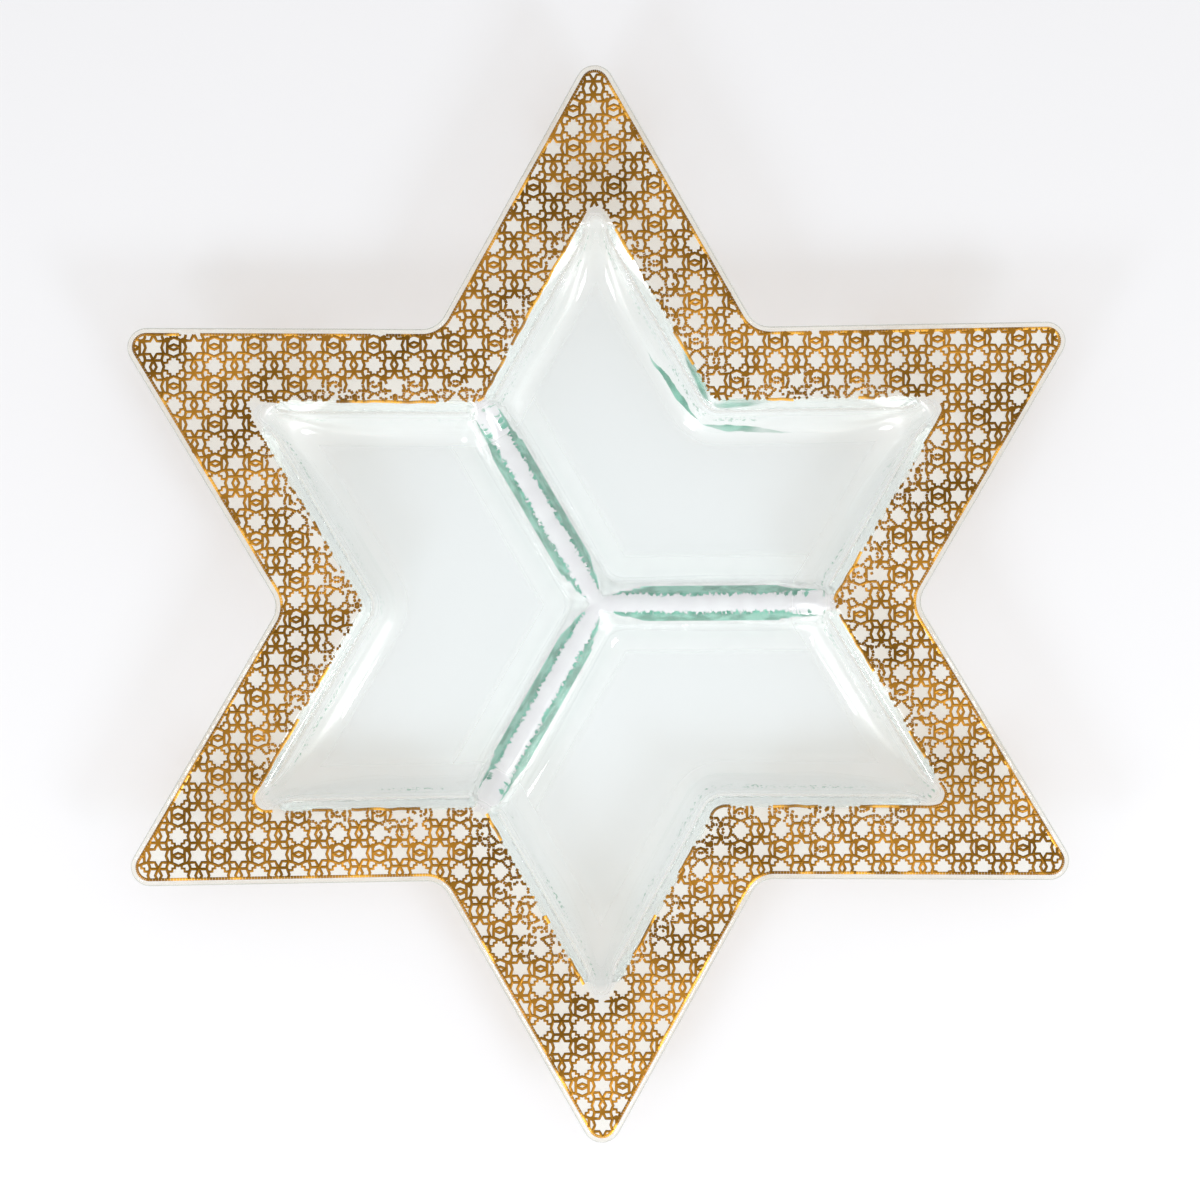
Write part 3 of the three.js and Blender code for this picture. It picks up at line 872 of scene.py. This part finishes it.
def ribbons_tree(gold):
    """Geometry nodes that turn each line into a flat ribbon, as wide as its points' weight says, and set a
    bead on each marked joint."""
    tree, given = new_tree("lattice_ribbons", [
        ("Stroke", "Float"), ("Film", "Float"), ("Joint Radius", "Float"), ("Seed", "Int"),
    ])
    # Each point has its own small height, so that no two ribbons share a face where they cross
    lift = add(
        tree, "FunctionNodeRandomValue", {"data_type": "FLOAT"}, n2=0.0, n3=0.5, Seed=given["Seed"]
    )
    rise = combine(tree, "MULTIPLY", lift.outputs[1], given["Film"])
    upward = add(tree, "ShaderNodeCombineXYZ", None, Z=rise)
    lifted = add(
        tree, "GeometryNodeSetPosition", None, Geometry=given["Geometry"], Offset=upward.outputs[0]
    )
    lines = add(tree, "GeometryNodeMeshToCurve", None, Mesh=lifted.outputs[0])
    weight = add(tree, "GeometryNodeInputNamedAttribute", {"data_type": "FLOAT"}, Name="weight")
    sized = add(tree, "GeometryNodeSetCurveRadius", None, Curve=lines.outputs[0], Radius=weight.outputs[0])
    section = add(
        tree, "GeometryNodeCurvePrimitiveQuadrilateral", {"mode": "RECTANGLE"},
        Width=given["Stroke"], Height=given["Film"],
    )
    ribbons = add(
        tree, "GeometryNodeCurveToMesh", None,
        Curve=sized.outputs[0], Profile_Curve=section.outputs[0], Fill_Caps=True,
    )
    mark = add(tree, "GeometryNodeInputNamedAttribute", {"data_type": "FLOAT"}, Name="joint")
    points = add(
        tree, "GeometryNodeMeshToPoints", {"mode": "VERTICES"},
        Mesh=lifted.outputs[0], Selection=mark.outputs[0],
    )
    bead = add(
        tree, "GeometryNodeMeshCylinder", None,
        Vertices=8, Radius=given["Joint Radius"], Depth=given["Film"],
    )
    size = add(
        tree, "FunctionNodeRandomValue", {"data_type": "FLOAT"}, n2=0.85, n3=1.15, Seed=given["Seed"]
    )
    beads = add(
        tree, "GeometryNodeInstanceOnPoints", None,
        Points=points.outputs[0], Instance=bead.outputs["Mesh"], Scale=size.outputs[1],
    )
    above = add(tree, "ShaderNodeCombineXYZ", None, Z=combine(tree, "MULTIPLY", given["Film"], 0.6))
    set_on = add(
        tree, "GeometryNodeTransform", None, Geometry=beads.outputs[0], Translation=above.outputs[0]
    )
    joined = add(tree, "GeometryNodeJoinGeometry")
    tree.links.new(ribbons.outputs[0], joined.inputs[0])
    tree.links.new(set_on.outputs[0], joined.inputs[0])
    flat = add(tree, "GeometryNodeRealizeInstances", None, Geometry=joined.outputs[0])
    shaded = add(tree, "GeometryNodeSetMaterial", None, Geometry=flat.outputs[0], Material=gold)
    done = add(tree, "NodeGroupOutput")
    tree.links.new(shaded.outputs[0], done.inputs[0])
    return tree


def outline_distance(points, outline):
    """Each point's distance to a closed outline, above 0 inside it."""
    start = numpy.array([(p.x, p.y) for p in outline])
    along = numpy.roll(start, -1, axis=0) - start
    keep = (along ** 2).sum(1) > 1e-14
    start, along = start[keep], along[keep]
    nearest = numpy.full(len(points), 1e9)
    crossings = numpy.zeros(len(points), int)
    for a, step in zip(start, along):
        away = points - a
        share = numpy.clip(away @ step / (step @ step), 0, 1)
        nearest = numpy.minimum(nearest, numpy.hypot(*(away - share[:, None] * step).T))
        if step[1] != 0:
            height = away[:, 1] / step[1]
            crossings += (height >= 0) & (height < 1) & (away[:, 0] < height * step[0])
    return numpy.where(crossings % 2 == 1, nearest, -nearest)


def clipped_lines(piece, outer, inner):
    """The lattice's lines cut off at the print's two outlines, as (points, edges, weights, joints). Near
    the wells, where the glass was drawn down, strokes break into dashes and some are lost."""
    mesh = piece.data
    points = numpy.array([v.co[:2] for v in mesh.vertices])
    weights = numpy.array([a.value for a in mesh.attributes["weight"].data])
    joints = numpy.array([a.value for a in mesh.attributes["joint"].data])
    to_well = -outline_distance(points, inner)
    inside = numpy.minimum(outline_distance(points, outer), to_well)
    tips = [polar(WELL_TIP, (2 * k + 1) * TWELFTH) for k in range(6)]
    draw = random.Random(11)
    new_points, new_edges, new_weights = [], [], []
    index = {}

    def keep(i):
        if i not in index:
            index[i] = len(new_points)
            new_points.append(points[i])
            new_weights.append(weights[i])
        return index[i]

    def loose(point, weight):
        new_points.append(point)
        new_weights.append(weight)
        return len(new_points) - 1

    for edge in mesh.edges:
        a, b = edge.vertices
        if inside[a] <= 0 and inside[b] <= 0:
            continue
        middle = (points[a] + points[b]) / 2
        patchy = 0.66 + 0.9 * noise.noise(Vector((*middle, 0)) / CRACK_PATCH)
        to_tip = min((Vector(middle) - tip).length for tip in tips)
        reach = CRACK_REACH * max(patchy, 0) * smooth((to_tip - TIP_CLEAR) / TIP_FADE)
        nearness = (to_well[a] + to_well[b]) / 2
        crack = 1 - smooth(nearness / reach) if reach > 0 else 0
        if inside[a] <= 0 or inside[b] <= 0:
            near, out = (a, b) if inside[a] > 0 else (b, a)
            share = inside[near] / (inside[near] - inside[out])
            cut = points[near] + (points[out] - points[near]) * share
            if share > SHORTEST_STUB:
                new_edges.append((keep(near), loose(cut, weights[out])))
        elif draw.random() < BROKEN_SHARE * crack:
            if draw.random() > LOST_SHARE * crack:
                along = points[b] - points[a]
                first, last = draw.uniform(0.0, DASH_GAP), draw.uniform(0.0, DASH_GAP)
                thin = draw.uniform(*DASH_WIDTHS)
                new_edges.append((
                    loose(points[a] + along * first, weights[a] * thin),
                    loose(points[b] - along * last, weights[b] * thin),
                ))
        else:
            new_edges.append((keep(a), keep(b)))
    new_joints = [0.0] * len(new_points)
    ends = [0] * len(new_points)
    for a, b in new_edges:
        ends[a] += 1
        ends[b] += 1
    for i, j in index.items():
        if joints[i] > 0.5 and ends[j] > 2 and inside[i] > 0.3 * MM:
            new_joints[j] = 1.0
    return new_points, new_edges, new_weights, new_joints


def border_lines(outline, weight, present, scallop):
    """Stretches of a thin line along an outline, there where a slow noise is above a level."""
    points, edges = [], []
    count = len(outline)
    for i in range(count):
        a, b = outline[i], outline[(i + 1) % count]
        pieces = max(math.ceil((b - a).length / BORDER_PIECE), 1)
        for k in range(pieces):
            ends = []
            for share in (k / pieces, (k + BORDER_PIECE_SHARE) / pieces):
                p = a.lerp(b, share)
                side = noise.noise(Vector((p.x, p.y, 9 * MM)) / SCALLOP_LENGTH)
                ends.append(p * (1 + scallop * side / p.length))
            if noise.noise(Vector((ends[0].x, ends[0].y, 5 * MM)) / BORDER_PATCH) > present:
                edges.append((len(points), len(points) + 1))
                points += ends
    return points, edges, [weight] * len(points)


def plain_copy(source, name):
    """The evaluated object as a plain mesh object, in place of the source."""
    bpy.context.view_layer.update()
    graph = bpy.context.evaluated_depsgraph_get()
    mesh = bpy.data.meshes.new_from_object(source.evaluated_get(graph))
    mesh.name = name
    source.modifiers.clear()
    piece = bpy.data.objects.new(name, mesh)
    bpy.context.scene.collection.objects.link(piece)
    bpy.data.objects.remove(source)
    return piece


def make_lattice(gold):
    """The gold lattice on the rim, as one mesh."""
    outer = star_outline(PRINT_BORDER, TIP_ROUND - PRINT_BORDER, NOTCH_ROUND + PRINT_BORDER)
    inner_inset = RIM_WIDTH - PRINT_INNER_BORDER
    inner = star_outline(inner_inset, WELL_TIP_ROUND, WELL_NOTCH_ROUND - PRINT_INNER_BORDER)
    area = area_object("print_area", outer, inner)
    cell = lattice_cell()
    modifier = cell.modifiers.new("lines", "NODES")
    modifier.node_group = lines_tree()
    set_inputs(
        modifier, Print_Area=area, Pitch_X=PITCH_X, Pitch_Y=PITCH_Y, Columns=COLUMNS, Rows=ROWS,
        Row_Shift=ROW_SHIFT, Turn=PRINT_TURN, Reach=PIECE_LENGTH, Drift=DRIFT,
    )
    lines = plain_copy(cell, "lattice_lines")
    points, edges, weights, joints = clipped_lines(lines, outer, inner)
    for outline, weight, present, scallop in ((outer, 0.19, -0.55, 0), (inner, 0.14, 0.1, SCALLOP)):
        start = len(points)
        more_points, more_edges, more_weights = border_lines(outline, weight, present, scallop)
        points += more_points
        edges += [(start + a, start + b) for a, b in more_edges]
        weights += more_weights
        joints += [0.0] * len(more_points)
    for scratch in (lines, area):
        bpy.data.objects.remove(scratch)
    mesh = bpy.data.meshes.new("lattice_strokes")
    mesh.from_pydata([(p[0], p[1], 0) for p in points], edges, [])
    for name, values in (("weight", weights), ("joint", joints)):
        attribute = mesh.attributes.new(name, "FLOAT", "POINT")
        attribute.data.foreach_set("value", values)
    strokes = bpy.data.objects.new("lattice_strokes", mesh)
    bpy.context.scene.collection.objects.link(strokes)
    modifier = strokes.modifiers.new("ribbons", "NODES")
    modifier.node_group = ribbons_tree(gold)
    set_inputs(modifier, Stroke=STROKE, Film=FILM, Joint_Radius=JOINT_RADIUS, Seed=7)
    piece = plain_copy(strokes, "gold_lattice")
    piece.data.materials.clear()
    piece.data.materials.append(gold)
    base = RIM_TOP + FILM
    for vert in piece.data.vertices:
        vert.co.z += base + rim_wave(vert.co.x, vert.co.y)
    return piece


def set_inputs(modifier, **values):
    """Sets a modifier's inputs by their names' socket identifiers."""
    for item in modifier.node_group.interface.items_tree:
        if item.item_type == "SOCKET" and item.in_out == "INPUT":
            name = item.name.replace(" ", "_")
            if name in values:
                modifier[item.identifier] = values[name]


def fired_gold():
    """Fired gold lustre: a thin bright film, brown-gold where it is thick, satin from the firing."""
    material, tree = new_material("fired_gold_lustre")
    place = add(tree, "ShaderNodeTexCoord").outputs["Object"]
    shades = add(tree, "ShaderNodeValToRGB", None, Fac=mottle(tree, place, 26 * MM))
    for stop, position, colour in zip(shades.color_ramp.elements, (0.35, 0.65), ("#6D4B16", "#A9772B")):
        stop.position = position
        stop.color = linear(colour)

    # Painted glints: in places the thin lines along the print's borders get a bright yellow, a painted
    # highlight where they catch the light
    weight = add(tree, "ShaderNodeAttribute", {"attribute_name": "weight"}).outputs["Fac"]
    above_none = step_between(tree, weight, 0.02, 0.08)
    thin = combine(tree, "MULTIPLY", above_none, step_between(tree, weight, 0.24, 0.3, 1.0, 0.0))
    patches = mottle(tree, place, 14 * MM, 1.0)
    bright = combine(tree, "MULTIPLY", thin, step_between(tree, patches, 0.48, 0.6))
    colour = blended(tree, bright, shades.outputs["Color"], linear("#DDA540"))

    grain = mottle(tree, place, 0.9 * MM)
    gloss = add(tree, "ShaderNodeMapRange", None, Value=grain, n1=0.3, n2=0.7, n3=0.38, n4=0.6)
    bump = add(tree, "ShaderNodeBump", None, Strength=0.25, Distance=0.02 * MM, Height=grain)
    shader = add(
        tree, "ShaderNodeBsdfPrincipled", None, Base_Color=colour, Metallic=1.0,
        Roughness=gloss.outputs[0], Normal=bump.outputs["Normal"],
    )

    # The film is thin enough to let some light through onto the glass and the table
    path = add(tree, "ShaderNodeLightPath")
    passing = add(tree, "ShaderNodeBsdfTransparent", None, Color=linear("#FFDFA4"))
    mix = add(
        tree, "ShaderNodeMixShader", None, n0=combine(tree, "MULTIPLY", spread_light(tree, path), 0.65),
        n1=shader.outputs["BSDF"], n2=passing.outputs["BSDF"],
    )
    out = add(tree, "ShaderNodeOutputMaterial")
    tree.links.new(mix.outputs["Shader"], out.inputs["Surface"])
    return material


def make_table():
    """The table: a wide level square just below the platter's underside."""
    half = TABLE_HALF
    corners = [(-half, -half, 0), (half, -half, 0), (half, half, 0), (-half, half, 0)]
    mesh = bpy.data.meshes.new("table")
    mesh.from_pydata(corners, [], [(0, 1, 2, 3)])
    table = bpy.data.objects.new("table", mesh)
    table.location.z = -TABLE_DROP
    table.data.materials.append(table_top())
    bpy.context.scene.collection.objects.link(table)
    return table


def studio_world():
    """A white room: plainly white where it is seen or mirrored, and softer as the light that it gives."""
    world = bpy.data.worlds.new("studio")
    world.use_nodes = True
    tree = world.node_tree
    tree.nodes.clear()
    path = add(tree, "ShaderNodeLightPath")
    seen = combine(tree, "ADD", path.outputs["Is Camera Ray"], path.outputs["Is Glossy Ray"])
    shown = add(
        tree, "ShaderNodeMath", {"operation": "ADD", "use_clamp": True},
        n0=seen, n1=path.outputs["Is Transmission Ray"],
    )
    strength = add(
        tree, "ShaderNodeMix", {"data_type": "FLOAT"}, n0=shown.outputs[0], n2=ROOM_LIGHT, n3=1.0
    )
    light = add(
        tree, "ShaderNodeBackground", None, Color=(1, 1, 1, 1), Strength=strength.outputs[0]
    )
    out = add(tree, "ShaderNodeOutputWorld")
    tree.links.new(light.outputs["Background"], out.inputs["Surface"])
    return world


def square_lamp(name, energy, location):
    """A square lamp that shines at the middle of the platter."""
    light = bpy.data.lights.new(name, "AREA")
    light.shape = "SQUARE"
    light.size = LAMP_SIDE
    light.energy = energy
    lamp = bpy.data.objects.new(name, light)
    lamp.location = location
    lamp.rotation_euler = (-lamp.location).to_track_quat("-Z", "Y").to_euler()
    bpy.context.scene.collection.objects.link(lamp)
    return lamp


def light_the_platter():
    """Two lamps low down before the platter, one to either side, which throw its two pale shadows. Each
    has a twin that only shows in the gloss of the gold and the glass, where it makes them shine more."""
    for name, side in (("right_lamp", 1), ("left_lamp", -1)):
        place = (side * LAMP_ASIDE, -LAMP_FRONT, LAMP_HEIGHT)
        square_lamp(name, LAMP_ENERGY[name], place)
        twin = square_lamp(name + "_gloss", GLOSS_BOOST * LAMP_ENERGY[name], place)
        twin.visible_diffuse = False
        twin.visible_transmission = False


def camera_above():
    """A camera that looks straight down on the star."""
    camera = bpy.data.cameras.new("overhead")
    camera.lens = LENS
    camera.sensor_width = SENSOR
    overhead = bpy.data.objects.new("overhead", camera)
    overhead.location = (VIEW_X, VIEW_Y, RIM_TOP + VIEW_WIDTH * LENS / SENSOR)
    overhead.rotation_euler = (0, 0, VIEW_TURN)
    bpy.context.scene.collection.objects.link(overhead)
    return overhead


glass = make_glass()
glass.data.materials.append(float_glass())
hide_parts("glass_platter")
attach(glass, "root")

lattice = make_lattice(fired_gold())
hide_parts("gold_print")
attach(lattice, "root")

make_table()

bpy.context.scene.world = studio_world()
light_the_platter()
bpy.context.scene.camera = camera_above()
bpy.context.scene.view_settings.view_transform = "Standard"
